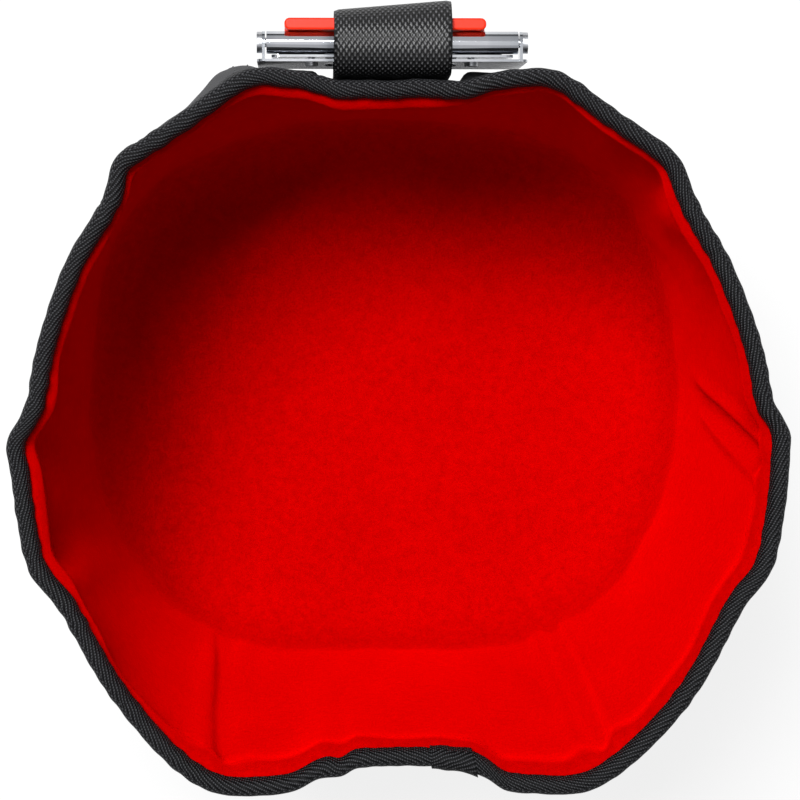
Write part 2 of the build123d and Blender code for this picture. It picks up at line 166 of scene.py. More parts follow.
def add_stitch(vertices, faces, ends, normal):
    """Adds one stitch to a mesh: a short round bar whose ends go down into the fabric."""
    forward = ends[1] - ends[0]
    forward /= np.linalg.norm(forward) + 1e-12
    normal /= np.linalg.norm(normal) + 1e-12
    side = np.cross(normal, forward)
    middle = (ends[0] + ends[1]) / 2
    first = len(vertices)
    for place, swell in STITCH_SWELL:
        sink = STITCH_RADIUS * (STITCH_SINK * (1 - swell) - 0.1)
        centre = middle + forward * STITCH_LENGTH * place - normal * sink
        for step in range(STITCH_SIDES):
            turn = 2 * math.pi * step / STITCH_SIDES
            spoke = side * math.cos(turn) * STITCH_FLATNESS + normal * math.sin(turn)
            vertices.append(tuple(centre + spoke * STITCH_RADIUS * swell))
    for ring in range(len(STITCH_SWELL) - 1):
        for step in range(STITCH_SIDES):
            a = first + ring * STITCH_SIDES + step
            b = first + ring * STITCH_SIDES + (step + 1) % STITCH_SIDES
            faces.append((a, b, b + STITCH_SIDES, a + STITCH_SIDES))
    last = first + (len(STITCH_SWELL) - 1) * STITCH_SIDES
    faces.append(tuple(first + step for step in range(STITCH_SIDES))[::-1])
    faces.append(tuple(last + step for step in range(STITCH_SIDES)))


# ------------------------------------------------------------------ the wall's plan, from the CAD shell
ANGLES = np.linspace(0, 2 * math.pi, 720, endpoint=False)
OUTWARD = np.stack([np.cos(ANGLES), np.sin(ANGLES), 0 * ANGLES], -1)
READ_LEVELS = 14                       # heights at which the CAD shell is measured
RAY_START = 1.0                        # each ray comes in from this far off the axis
LEAST_REACH = 0.1                      # a reading below this missed the shell's near side


def read_wall():
    """Distance from the axis to the shell's outside, by height and direction."""
    mesh = frame["nodes"]["outer_shell"].data
    tree = BVHTree.FromPolygons([v.co for v in mesh.vertices], [p.vertices[:] for p in mesh.polygons])
    low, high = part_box("outer_shell")
    heights = np.linspace(low.z + 3 * MM, high.z - 2 * MM, READ_LEVELS)
    reach = np.zeros((len(heights), len(ANGLES)))
    for i, height in enumerate(heights):
        for j, angle in enumerate(ANGLES):
            outward = Vector((math.cos(angle), math.sin(angle), 0))
            hit = tree.ray_cast(outward * RAY_START + Vector((0, 0, height)), -outward)
            reach[i, j] = RAY_START - hit[3] if hit[0] is not None else 0
    for j in range(len(ANGLES)):
        column = reach[:, j]
        column[column < LEAST_REACH] = np.median(column)
    return heights, reach


WALL_HEIGHTS, WALL_REACH = read_wall()

# Where the soft rim stands out of its even shape, or inside it: degrees, width in radians, how far
RIM_LEAN = (
    (181.5, 0.05, 2.2 * MM), (0.5, 0.05, 1.6 * MM), (222.0, 0.22, -1.5 * MM), (136.5, 0.05, 2.2 * MM),
    (152.0, 0.20, 1.4 * MM), (330.0, 0.45, 0.8 * MM), (259.5, 0.035, 3.0 * MM), (286.5, 0.03, 1.0 * MM),
)


def wall_reach(angle, height):
    """Outside of the rim tape, carried down the wall, at any direction and height."""
    turn = np.asarray(angle, float) % (2 * math.pi) / (2 * math.pi) * len(ANGLES)
    level = np.interp(height, WALL_HEIGHTS, np.arange(len(WALL_HEIGHTS)))
    turn, level = np.broadcast_arrays(turn, level)
    j, i = np.floor(turn).astype(int), np.minimum(np.floor(level).astype(int), len(WALL_HEIGHTS) - 2)
    s, t = turn - j, level - i
    j, k = j % len(ANGLES), (j + 1) % len(ANGLES)
    low = WALL_REACH[i, j] * (1 - s) + WALL_REACH[i, k] * s
    high = WALL_REACH[i + 1, j] * (1 - s) + WALL_REACH[i + 1, k] * s
    lean = sum(amount * bell(turned(angle, middle), 0, width) for middle, width, amount in RIM_LEAN)
    return low * (1 - t) + high * t + SHELL_INSET + lean * np.clip(height / RIM_TOP, 0, 1) ** 3


def wall_point(angle, height, inset):
    """Point of the wall, with inset measured square to its surface."""
    angle, height, inset = np.broadcast_arrays(np.asarray(angle, float), height, inset)
    step = math.radians(2)
    reach = wall_reach(angle, height)
    slope = (wall_reach(angle + step, height) - wall_reach(angle - step, height)) / (2 * step * reach)
    reach = reach - inset * np.sqrt(1 + np.minimum(slope ** 2, 1.0))
    return np.stack([reach * np.cos(angle), reach * np.sin(angle), height], -1)


def ripple(angle, height, seed, turns, drift):
    """Smooth random unevenness of about unit size that closes on itself round the wall."""
    rng = np.random.default_rng(seed)
    total = 0
    for _ in range(9):
        count = rng.integers(*turns)
        total = total + np.cos(count * angle + rng.uniform(-1, 1) * drift * height + rng.uniform(0, 6.3))
    return total / 3


def bell(value, middle, width):
    """Smooth hump of height one."""
    return np.exp(-((value - middle) / width) ** 2)


def turned(angle, degrees):
    """Angle away from a direction, in radians, from -pi to pi."""
    return (angle - math.radians(degrees) + math.pi) % (2 * math.pi) - math.pi


# ------------------------------------------------------------------ materials
class Paint:
    """One procedural material under construction."""

    def __init__(self, name, roughness, metallic=0.0, specular=0.5):
        self.material = bpy.data.materials.new(name)
        self.material.use_nodes = True
        self.nodes = self.material.node_tree.nodes
        self.shader = self.nodes["Principled BSDF"]
        self.shader.inputs["Roughness"].default_value = roughness
        self.shader.inputs["Metallic"].default_value = metallic
        self.shader.inputs["Specular IOR Level"].default_value = specular

    def add(self, kind, **settings):
        node = self.nodes.new(kind)
        for key, value in settings.items():
            setattr(node, key, value)
        return node

    def join(self, source, target):
        self.material.node_tree.links.new(source, target)

    def math(self, operation, first, second=0.0):
        node = self.add("ShaderNodeMath", operation=operation)
        for socket, value in zip(node.inputs, (first, second)):
            if isinstance(value, (int, float)):
                socket.default_value = value
            else:
                self.join(value, socket)
        return node.outputs[0]

    def place(self, stretch=(1, 1, 1)):
        """Object coordinates in metres, stretched."""
        node = self.add("ShaderNodeMapping")
        node.inputs["Scale"].default_value = stretch
        self.join(self.add("ShaderNodeTexCoord").outputs["Object"], node.inputs["Vector"])
        return node.outputs[0]

    def noise(self, scale, detail=3.0, rough=0.55, place=None):
        node = self.add("ShaderNodeTexNoise")
        node.inputs["Scale"].default_value = scale
        node.inputs["Detail"].default_value = detail
        node.inputs["Roughness"].default_value = rough
        self.join(place or self.place(), node.inputs["Vector"])
        return node.outputs["Fac"]

    def threads(self):
        """The two thread coordinates in metres: across the columns, along the rows."""
        node = self.add("ShaderNodeSeparateXYZ")
        self.join(self.add("ShaderNodeUVMap", uv_map="Threads").outputs["UV"], node.inputs[0])
        return node.outputs[0], node.outputs[1]

    def wave(self, value, period, shift=0.0):
        """Sine of a coordinate, from 0 to 1."""
        phase = self.math("MULTIPLY", value, 2 * math.pi / period)
        return self.half(self.math("SINE", self.math("ADD", phase, shift)))

    def half(self, value):
        return self.math("ADD", self.math("MULTIPLY", value, 0.5), 0.5)

    def weave(self, across, along, pitch_across, pitch_along):
        """Plain weave: bumps where one thread passes over another."""
        first = self.math("SINE", self.math("MULTIPLY", across, 2 * math.pi / pitch_across))
        second = self.math("SINE", self.math("MULTIPLY", along, 2 * math.pi / pitch_along))
        return self.half(self.math("MULTIPLY", first, second))

    def ramp(self, factor, *stops):
        node = self.add("ShaderNodeValToRGB")
        elements = node.color_ramp.elements
        while len(elements) < len(stops):
            elements.new(0.5)
        for element, (position, color) in zip(elements, stops):
            element.position = position
            element.color = (*color, 1)
        self.join(factor, node.inputs["Fac"])
        return node.outputs["Color"]

    def color(self, source):
        self.join(source, self.shader.inputs["Base Color"])

    def bump(self, height, strength, distance):
        node = self.add("ShaderNodeBump")
        node.inputs["Strength"].default_value = strength
        node.inputs["Distance"].default_value = distance
        self.join(height, node.inputs["Height"])
        if self.shader.inputs["Normal"].links:
            self.join(self.shader.inputs["Normal"].links[0].from_socket, node.inputs["Normal"])
        self.join(node.outputs["Normal"], self.shader.inputs["Normal"])

    def rough(self, factor, low, high):
        node = self.add("ShaderNodeMapRange")
        node.inputs["To Min"].default_value = low
        node.inputs["To Max"].default_value = high
        self.join(factor, node.inputs["Value"])
        self.join(node.outputs["Result"], self.shader.inputs["Roughness"])

    def sheen(self, weight, roughness, tint):
        self.shader.inputs["Sheen Weight"].default_value = weight
        self.shader.inputs["Sheen Roughness"].default_value = roughness
        self.shader.inputs["Sheen Tint"].default_value = (*tint, 1)


def fleece():
    """Brushed red lining: short pile that clumps, a little fuller in places."""
    paint = Paint("red_fleece", 1.0, specular=0.0)
    pile = paint.noise(900, 4, 0.7)
    clumps = paint.noise(260, 3, 0.6)
    wear = paint.noise(14, 2)
    mixed = paint.math("ADD", paint.math("MULTIPLY", pile, 0.5), paint.math("MULTIPLY", clumps, 0.35))
    mixed = paint.math("ADD", mixed, paint.math("MULTIPLY", wear, 0.15))
    paint.color(paint.ramp(mixed, (0.3, (0.30, 0.0, 0.0)), (0.52, (0.45, 0.0, 0.0)),
                           (0.72, (0.56, 0.0003, 0.0))))
    paint.bump(pile, 0.35, 0.5 * MM)
    paint.bump(clumps, 0.4, 0.8 * MM)
    paint.sheen(0.66, 0.6, (1.0, 0.0, 0.0))
    return paint.material


def woven(name, dark, light, pitch_across, pitch_along, roughness, depth, specular=0.35, stops=(0.25, 0.75)):
    """Plain woven synthetic, its yarn tops painted lighter as a painted highlight of their gloss, over a
    random tone.
    """
    paint = Paint(name, roughness, specular=specular)
    across, along = paint.threads()
    grid = paint.weave(across, along, pitch_across, pitch_along)
    fuzz = paint.noise(700, 3, 0.6)
    tone = paint.noise(9, 3)
    height = paint.math("ADD", grid, paint.math("MULTIPLY", fuzz, 0.35))
    # painted highlight: the weave's raised yarn tops take the light colour and its hollows the dark; the
    # tone noise is random variation
    yarn_top_highlight_and_tone = paint.math("MULTIPLY", paint.math("ADD", height, paint.math("MULTIPLY", tone, 0.4)), 0.6)
    paint.color(paint.ramp(yarn_top_highlight_and_tone, (stops[0], dark), (stops[1], light)))
    paint.rough(fuzz, roughness - 0.1, roughness + 0.12)
    paint.bump(height, 0.7, depth)
    return paint.material


def herringbone():
    """Twill tape: ribs that change direction along a line, with a finely dotted outer edge."""
    paint = Paint("herringbone_tape", 0.6, specular=0.1)
    across, along = paint.threads()
    turn_line, column = 22.3 * MM, 9.0 * MM
    zigzag = paint.math("PINGPONG", paint.math("ADD", along, 3 * column - turn_line), column)
    slant = paint.math("SUBTRACT", paint.math("MULTIPLY", across, 0.42), paint.math("MULTIPLY", zigzag, 0.9))
    rib = paint.wave(slant, 1.5 * MM)
    picks = paint.wave(across, 1.05 * MM)
    ribbed = paint.math("MULTIPLY", rib, paint.math("ADD", paint.math("MULTIPLY", picks, 0.55), 0.45))
    dotted = paint.weave(across, along, 2.3 * MM, 2.1 * MM)
    outer = paint.math("LESS_THAN", along, turn_line)
    height = paint.math("ADD", paint.math("MULTIPLY", dotted, outer),
                        paint.math("MULTIPLY", ribbed, paint.math("SUBTRACT", 1.0, outer)))
    fuzz = paint.noise(1200, 3, 0.6)
    mixed = paint.math("ADD", paint.math("MULTIPLY", height, 0.75), paint.math("MULTIPLY", fuzz, 0.3))
    # painted highlight: the ramp paints the rib tops and dots of this black tape lighter than its hollows
    paint.color(paint.ramp(mixed, (0.22, (0.001, 0.001, 0.0012)), (0.5, (0.007, 0.007, 0.008)),
                           (0.85, (0.058, 0.059, 0.063))))
    paint.rough(fuzz, 0.5, 0.75)
    paint.bump(height, 0.8, 0.45 * MM)
    return paint.material


def plated():
    """Bright chromed steel with faint polishing marks."""
    paint = Paint("bright_chrome", 0.08, metallic=1.0)
    marks = paint.noise(60, 4, 0.6, paint.place((1, 14, 14)))
    streaks = paint.noise(55, 2, 0.4, paint.place((1, 0.02, 0.02)))
    paint.color(paint.ramp(streaks, (0.38, (0.24, 0.25, 0.28)), (0.5, (0.48, 0.50, 0.53)),
                           (0.62, (0.62, 0.63, 0.66))))
    paint.rough(marks, 0.05, 0.12)
    return paint.material


def steel():
    """Zinc plated rivets and pin."""
    paint = Paint("zinc_steel", 0.3, metallic=1.0)
    grain = paint.noise(900, 3, 0.7)
    paint.color(paint.ramp(grain, (0.3, (0.40, 0.41, 0.43)), (0.7, (0.62, 0.63, 0.65))))
    paint.rough(grain, 0.22, 0.45)
    return paint.material


def moulded(name, dark, light, low, high, grain_scale, depth, specular=0.5):
    """Moulded plastic or rubber with a fine moulded grain."""
    paint = Paint(name, high, specular=specular)
    grain = paint.noise(grain_scale, 3, 0.6)
    tone = paint.noise(25, 3)
    paint.color(paint.ramp(tone, (0.3, dark), (0.7, light)))
    paint.rough(grain, low, high)
    paint.bump(grain, 0.25, depth)
    return paint.material


FLEECE = fleece()
TAPE = herringbone()
SHELL = woven("ballistic_nylon", (0.006, 0.006, 0.007), (0.085, 0.085, 0.092), 1.9 * MM, 1.9 * MM,
              0.6, 0.3 * MM, specular=0.2, stops=(0.3, 0.8))
WEBBING = woven("nylon_webbing", (0.0012, 0.0012, 0.0014), (0.17, 0.17, 0.18), 2.3 * MM, 3.2 * MM,
                0.42, 0.5 * MM, specular=0.4, stops=(0.62, 1.0))
THREAD = moulded("bonded_thread", (0.02, 0.02, 0.022), (0.05, 0.05, 0.055), 0.4, 0.6, 2500, 0.1 * MM)
CHROME = plated()
STEEL = steel()
ORANGE = moulded("orange_plastic", (0.78, 0.020, 0.003), (0.84, 0.026, 0.005),
                 0.3, 0.45, 900, 0.08 * MM, specular=0.12)
RUBBER = moulded("moulded_rubber", (0.016, 0.016, 0.017), (0.028, 0.028, 0.03),
                 0.55, 0.75, 1300, 0.25 * MM, specular=0.3)
BLACK_METAL = moulded("black_rivet", (0.02, 0.02, 0.02), (0.04, 0.04, 0.042),
                      0.25, 0.4, 1500, 0.05 * MM)
NYLON = moulded("natural_nylon", (0.60, 0.58, 0.50), (0.68, 0.65, 0.58), 0.35, 0.5, 600, 0.05 * MM)
PANEL_PLASTIC = moulded("panel_plastic", (0.05, 0.05, 0.055), (0.07, 0.07, 0.075),
                        0.4, 0.55, 500, 0.1 * MM)
FOAM = moulded("grey_foam", (0.16, 0.16, 0.17), (0.22, 0.22, 0.23),
               0.8, 0.95, 1800, 0.3 * MM, specular=0.2)


# ------------------------------------------------------------------ lining
def crease(angle, height, start, end, width, depth):
    """Fold between two (degrees, height) points: a groove with a soft swelling on each side."""
    across = turned(angle, start[0]) * LINING_RADIUS
    up = height - start[1]
    run = np.array([math.radians(end[0] - start[0]) * LINING_RADIUS, end[1] - start[1]])
    length = np.linalg.norm(run)
    along = (across * run[0] + up * run[1]) / length ** 2
    beside = (across * run[1] - up * run[0]) / length
    fade = 1 / (1 + np.exp(-14 * along)) / (1 + np.exp(14 * (along - 1)))
    fold = -bell(beside, 0, width) + 0.75 * bell(np.abs(beside), 2.1 * width, 1.3 * width)
    return depth * fade * fold


LEAST_RELIEF = -1.5 * MM
BAND_RISE = 3.6 * MM                   # the soft roll of lining below the tape
BAND_DROP = 8 * MM
BAND_WIDTHS = (6 * MM, 17 * MM)        # above its crest and below it
BAND_LOW = 30 * MM                     # below the rim, the rows of the mesh are further apart
BAND_ROWS, WALL_ROWS, CORNER_ROWS, FLOOR_ROWS = 30, 90, 14, 44
FLOOR_CORNER = 24 * MM
FLOOR_MIDDLE = 0.03                    # size of the innermost ring, as a share of the outermost
FOAM_BEHIND_LINING = 0.9 * MM          # from the lining's visible side to the padding

# How far, seed, range of waves round the wall, and how much a wave drifts with height
LINING_WAVES = ((1.1 * MM, 3, (2, 9), 25), (0.35 * MM, 4, (12, 30), 60))

# Start and end as (degrees, height), then width and depth
LINING_CREASES = (
    ((242.5, 0.272), (235.5, 0.015), 4.0 * MM, 2.6 * MM),
    ((302.5, 0.272), (306.5, 0.015), 3.6 * MM, 4.6 * MM),
    ((-4.5, 0.262), (2.0, 0.100), 3.5 * MM, 3.4 * MM),
    ((46.0, 0.270), (40.0, 0.030), 9.0 * MM, 2.2 * MM),
    ((199.0, 0.265), (203.0, 0.060), 7.0 * MM, 1.6 * MM),
)


def lining_relief(angle, height):
    """How far the lining stands in from its flat place."""
    leg_low = RIM_TOP - INNER_LEG
    crest = leg_low - BAND_DROP
    relief = BAND_RISE * bell(height, crest, np.where(height > crest, *BAND_WIDTHS))
    for amount, *wave in LINING_WAVES:
        relief = relief + amount * ripple(angle, height, *wave)
    dent = 3.0 * MM * bell(turned(angle, -4.5), 0, 0.05) * bell(height, 0.258, 8 * MM)
    relief = relief - dent
    for start, end, width, depth in LINING_CREASES:
        relief = relief + crease(angle, height, start, end, width, depth)
    free = 1 / (1 + np.exp(np.clip((height - leg_low + 1.2 * MM) / (0.7 * MM), -30, 30)))
    return free * soft_least(relief, LEAST_RELIEF)


def soft_least(value, least, softness=0.5 * MM):
    """Value, kept above least without a kink."""
    return least + softness * np.logaddexp(0, (value - least) / softness)


def make_lining():
    """Fleece wall and floor in one soft surface, with a rolled band under the tape."""
    band = np.linspace(RIM_TOP - 5 * MM, RIM_TOP - BAND_LOW, BAND_ROWS)
    wall = np.linspace(RIM_TOP - BAND_LOW, FLOOR_TOP + FLOOR_CORNER, WALL_ROWS)
    heights = np.concatenate([band[:-1], wall])[:, None]
    rows = [wall_point(ANGLES[None], heights, LINING_INSET + lining_relief(ANGLES[None], heights))]
    for turn in np.linspace(0, math.pi / 2, CORNER_ROWS)[1:]:
        height = FLOOR_TOP + FLOOR_CORNER * (1 - math.sin(turn))
        relief = lining_relief(ANGLES, FLOOR_TOP + FLOOR_CORNER)
        inset = LINING_INSET + relief + FLOOR_CORNER * (1 - math.cos(turn))
        rows.append(wall_point(ANGLES, height, inset)[None])
    edge = rows[-1][0]
    for share in np.linspace(1, FLOOR_MIDDLE, FLOOR_ROWS)[1:]:
        ring = edge * share
        swell = 0.9 * MM * ripple(ANGLES, 0, 8, (1, 5), 0) * share * (1 - share) * 4
        dome = 1.2 * MM * (1 - share ** 2) * np.cos(3 * ANGLES + 1) * share
        ring[:, 2] = FLOOR_TOP + swell + dome
        rows.append(ring[None])
    piece = surface("lining", np.concatenate(rows), columns_close=True, apex=(0, 0, FLOOR_TOP))
    thicken(piece, LINING_FABRIC)
    dress(piece, FLEECE, replaced=("wall_lining", "floor_lining"))


def make_foam():
    """Padding that fills the wall between the shell's stiff panels and the lining."""
    heights = np.linspace(FLOOR_TOP + 2 * MM, RIM_TOP - 2 * MM, 60)
    outer = wall_point(ANGLES[None], heights[:, None], FOAM_OUTER_INSET)
    back = heights[::-1, None]
    inset = LINING_INSET - FOAM_BEHIND_LINING + lining_relief(ANGLES[None], back)
    inner = wall_point(ANGLES[None], back, inset)
    piece = surface("wall_padding", np.concatenate([outer, inner]), columns_close=True, rows_close=True)
    dress(piece, FOAM, replaced=("wall_foam",))


# ------------------------------------------------------------------ rim tape
# Section of the tape's visible side, from outside over the rim: (inset, rise), in millimetres
TAPE_PROFILE = (
    (0.15, -22.0), (0.0, -20.0), (0.0, -16.0), (0.0, -12.0), (0.0, -8.0), (0.1, -5.5), (0.4, -3.4),
    (1.0, -1.7), (1.9, -0.7), (2.9, -0.2), (4.0, 0.0), (5.1, -0.2), (6.1, -0.7), (7.0, -1.7), (7.6, -3.4),
    (7.85, -4.6), (7.9, -5.6), (7.8, -6.5),
)
STITCHES_ABOVE_EDGE = 3.2 * MM
LAP_LIFT = 1.05 * MM                   # top ply of the lap above the tape
LAP_GAP = 0.12 * MM                    # its underside above the tape


def tape_rows(angle, lift=0.0):
    """Closed section of the folded tape at each direction: outer skin, then inner skin back."""
    outer = np.array(TAPE_PROFILE) * MM
    step = np.gradient(outer, axis=0)
    normal = np.stack([-step[:, 1], step[:, 0]], 1) / np.linalg.norm(step, axis=1)[:, None]
    raised = outer + normal * lift
    inner = (outer - normal * (TAPE_THICKNESS - lift))[::-1]
    loop = np.concatenate([raised, inner])
    top_wave = 0.35 * MM * ripple(angle, 0, 21, (5, 26), 0)
    pucker = 0.16 * MM * ripple(angle, 0, 22, (60, 130), 0)
    leg_wave = 0.28 * MM * ripple(angle, 0, 23, (20, 60), 0)
    rows = []
    for inset, drop in loop:
        low_share = min(1.0, -drop / OUTER_LEG) if drop < 0 else 0.0
        side = 1 if inset < WALL_TOTAL / 2 else -1
        moved = inset - side * (pucker + leg_wave * low_share * 0.4)
        height = RIM_TOP + drop + top_wave * (1 - low_share)
        if side == 1:
            moved = moved - shell_relief(angle, height)
        rows.append(wall_point(angle, height, moved))
    return np.stack(rows)


def make_tape():
    """Herringbone tape over the rim, its outer stitch row and the lap at the front."""
    piece = surface("rim_tape", tape_rows(ANGLES), columns_close=True, rows_close=True)
    dress(piece, TAPE, replaced=("rim_binding",))
    stitch_height = TAPE_LOW + STITCHES_ABOVE_EDGE
    points = wall_point(ANGLES, stitch_height, -0.05 * MM - shell_relief(ANGLES, stitch_height))
    run = (np.concatenate([points, points[:1]]), np.concatenate([OUTWARD, OUTWARD[:1]]))
    stitches("rim_stitching", [run])

    low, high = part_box("binding_lap")
    ends = [math.atan2(low.y, low.x), math.atan2(low.y, high.x)]
    angles = np.linspace(min(ends), max(ends), 40)
    rows = tape_rows(angles, lift=LAP_LIFT)
    count = len(TAPE_PROFILE)
    rows[count:] = tape_rows(angles, lift=LAP_GAP)[:count][::-1]
    lap = surface("tape_lap", np.swapaxes(rows, 0, 1)[:, ::-1], columns_close=True, caps=True)
    dress(lap, TAPE, replaced=("binding_lap",))
    swap_threads(lap)


def swap_threads(piece):
    """Turns the thread directions by a quarter."""
    layer = piece.data.uv_layers["Threads"]
    values = np.empty(len(layer.data) * 2, np.float32)
    layer.data.foreach_get("uv", values)
    layer.data.foreach_set("uv", values.reshape(-1, 2)[:, ::-1].ravel())


# ------------------------------------------------------------------ shell
SEAM_HALF_WIDTH = 4.5 * MM
SEAM_RISE = 0.55 * MM
SEAM_STITCHES = 2.6 * MM               # from the middle of a seam to each of its two stitch rows
BULGES = ((117, 0.085, 8.5 * MM), (127, 0.12, 4.5 * MM))        # degrees, width in radians, how far
BULGE_LEVEL = (0.226, 0.026)           # height and half width
SHOULDER_LEVEL = (0.239, 0.016)
SHOULDER_SIDES = (29.5 * MM, 62 * MM)  # from the clamp's middle to where a shoulder starts and ends
SHOULDER_REACH = 7.5 * MM
SHOULDER_GAP = 0.9 * MM                # to the fixed jaw
TAPE_COVER = 6 * MM                    # below the rim, the shell starts to stand out again
PUCKER_LOW, PUCKER_HIGH = 0.2, 0.265   # fine puckers fade in between these heights


def shell_relief(angle, height):
    """How far the shell stands out from its flat place."""
    relief = 0.5 * MM * ripple(angle, height, 41, (3, 12), 22)
    fade = np.clip((height - PUCKER_LOW) / (PUCKER_HIGH - PUCKER_LOW), 0, 1)
    relief = relief + 0.3 * MM * ripple(angle, height, 42, (40, 90), 40) * fade
    for seam in SEAMS:
        beside = turned(angle, seam) * SHELL_RADIUS
        relief = relief + SEAM_RISE / (1 + np.exp((np.abs(beside) - SEAM_HALF_WIDTH) / (0.35 * MM)))
    bulge = sum(amount * bell(turned(angle, middle), 0, width) for middle, width, amount in BULGES)
    shoulders = shoulder_reach(angle, height) * bell(height, *SHOULDER_LEVEL)
    free = np.clip((RIM_TOP - TAPE_COVER - height) / (10 * MM), 0, 1)
    return free * (relief + bulge * bell(height, *BULGE_LEVEL) + shoulders)


def shoulder_reach(angle, height):
    """How far the fabric fills out behind the clamp, on each side of the webbing loop."""
    reach = wall_reach(angle, height)
    beside = np.abs(reach * np.cos(angle) - PIVOT.x)
    start, end = SHOULDER_SIDES
    window = 1 / (1 + np.exp((start - beside) / (0.8 * MM))) / (1 + np.exp((beside - end) / (2.5 * MM)))
    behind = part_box("fixed_jaw")[0].y - SHOULDER_GAP - reach * np.sin(angle)
    return np.clip(behind, 0, SHOULDER_REACH) * window * (np.sin(angle) > 0)


def shell_point(angle, height, lift=0.0):
    """Point of the shell's visible side, or lift above it."""
    return wall_point(angle, height, SHELL_INSET - shell_relief(angle, height) - lift)


def make_shell():
    """Outer fabric with flat-felled seams between its panels."""
    heights = np.linspace(8 * MM, RIM_TOP - 3 * MM, 110)[:, None]
    points = shell_point(ANGLES[None], heights)
    piece = thicken(surface("shell", points, columns_close=True), SHELL_FABRIC)
    dress(piece, SHELL, replaced=("outer_shell",))
    runs = []
    heights = np.linspace(16 * MM, TAPE_LOW - 1 * MM, 60)
    for seam in SEAMS:
        for side in (-SEAM_STITCHES, SEAM_STITCHES):
            angle = np.full(len(heights), math.radians(seam) + side / SHELL_RADIUS)
            points = shell_point(angle, heights, 0.1 * MM)
            runs.append((points, np.stack([np.cos(angle), np.sin(angle), 0 * angle], -1)))
    stitches("shell_stitching", runs)


# ------------------------------------------------------------------ outer pouches
POUCH_DEPTH = 24 * MM                  # from its front back into the wall
POUCH_CORNER = 7 * MM
POUCH_TUCK = 5 * MM                    # how far its foot is drawn in
POUCH_BELLY = 1.5 * MM
POUCH_WAVE = 0.35 * MM
POUCH_SIDE_POINTS = 6
POUCH_CORNER_POINTS = 9
POUCH_FRONT_POINTS = 26
POUCH_ROWS = 44
POUCH_FRONT = 8 * MM                   # what lies within this of its furthest reach bellies out
POUCH_SINK = 0.6 * MM                  # how far it may go into the shell
POUCH_STITCH_DROP = 6.5 * MM
POUCH_STITCH_ENDS = 4                  # points at each end of a row, and rows at the foot, without stitches

# Section of a pouch's tape: (out, up) from the fabric's upper edge, in millimetres
POUCH_TAPE = (
    (0.5, -9.0), (0.55, -5.0), (0.5, -1.5), (0.1, 0.3), (-0.55, 0.8), (-1.2, 0.3), (-1.65, -1.5),
    (-1.7, -5.0), (-1.65, -9.0), (-1.25, -9.0), (-1.2, -3.0), (-0.55, -0.4), (0.08, -3.0), (0.1, -9.0),
)


def pouch_frame(direction, node):
    """A pouch node's own directions, its reach and half width along them, and its heights."""
    outward = np.array([math.cos(math.radians(direction)), math.sin(math.radians(direction))])
    sideways = np.array([-outward[1], outward[0]])
    corners = np.array([v.co for v in frame["nodes"][node].data.vertices])[:, :2]
    low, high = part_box(node)
    return outward, sideways, (corners @ outward).max(), (corners @ sideways).max(), low.z, high.z


def pouch_plan(reach, half):
    """Plan of a pouch's fabric from the wall, round the front and back to the wall, as (out, side)."""
    start = reach - POUCH_DEPTH
    corner = POUCH_CORNER
    shares = np.linspace(0, 1, POUCH_SIDE_POINTS + 1)[:-1]
    plan = [(start + (reach - corner - start) * s, -half) for s in shares]
    turns = np.linspace(-math.pi / 2, 0, POUCH_CORNER_POINTS)
    plan += [(reach - corner + corner * math.cos(t), -half + corner + corner * math.sin(t)) for t in turns]
    plan += [(reach, s) for s in np.linspace(-half + corner, half - corner, POUCH_FRONT_POINTS)[1:-1]]
    plan += [(out, -side) for out, side in reversed(plan[:POUCH_SIDE_POINTS + POUCH_CORNER_POINTS])]
    return np.array(plan)


def pouch_row(plan, half, share, direction):
    """Plan of a pouch at a share of its height: drawn in at the foot, and bellied above it."""
    tuck = bell(share, 0, 0.035)
    belly = POUCH_BELLY * math.sin(math.pi * share) ** 0.8 * np.cos(plan[:, 1] / half * math.pi / 2) ** 0.7
    wave = POUCH_WAVE * np.sin(plan[:, 1] / half * 7 + share * 5 + direction)
    at_front = plan[:, 0] > plan[:, 0].max() - POUCH_FRONT
    out = plan[:, 0] - POUCH_TUCK * tuck + (belly + wave * share) * at_front
    return out, plan[:, 1] * (1 - 0.04 * tuck)


def make_pouch(name, direction):
    """One open pouch with a soft front, its tape and its stitching."""
    outward, sideways, reach, half, low, high = pouch_frame(direction, f"pocket_{name}")
    plan = pouch_plan(reach, half)
    rows = []
    for height in np.linspace(low, high - 0.5 * MM, POUCH_ROWS):
        out, side = pouch_row(plan, half, (height - low) / (high - low), direction)
        rows.append(np.concatenate([out[:, None] * outward + side[:, None] * sideways,
                                    np.full((len(plan), 1), height)], 1))
    points = hold_off_wall(np.array(rows))
    piece = thicken(surface(f"pouch_{name}", points), POUCH_FABRIC)
    dress(piece, SHELL, replaced=(f"pocket_{name}",))

    mouth = points[-1]
    forward = np.gradient(mouth, axis=0)
    normal = np.stack([forward[:, 1], -forward[:, 0], 0 * forward[:, 0]], -1)
    normal /= np.linalg.norm(normal, axis=1)[:, None]
    tape = np.stack([mouth + normal * out * MM + np.array([0, 0, up * MM]) for out, up in POUCH_TAPE], 1)
    tape = surface(f"pouch_tape_{name}", tape[:, ::-1], columns_close=True, caps=True)
    dress(tape, TAPE, replaced=(f"pocket_binding_{name}",))
    swap_threads(tape)
    upper = mouth + normal * 0.55 * MM - np.array([0, 0, POUCH_STITCH_DROP])
    lower = points[POUCH_STITCH_ENDS] + normal * 0.1 * MM
    sewn = slice(POUCH_STITCH_ENDS, -POUCH_STITCH_ENDS)
    runs = [(row[sewn], normal[sewn]) for row in (upper, lower)]
    stitches(f"pouch_stitching_{name}", runs)


def hold_off_wall(points):
    """Keeps points from sinking far into the wall."""
    angle = np.arctan2(points[..., 1], points[..., 0])
    reach = np.hypot(points[..., 0], points[..., 1])
    least = np.linalg.norm(shell_point(angle, points[..., 2], -POUCH_SINK)[..., :2], axis=-1)
    factor = np.maximum(least / reach, 1)
    return points * np.stack([factor, factor, 1 + 0 * factor], -1)


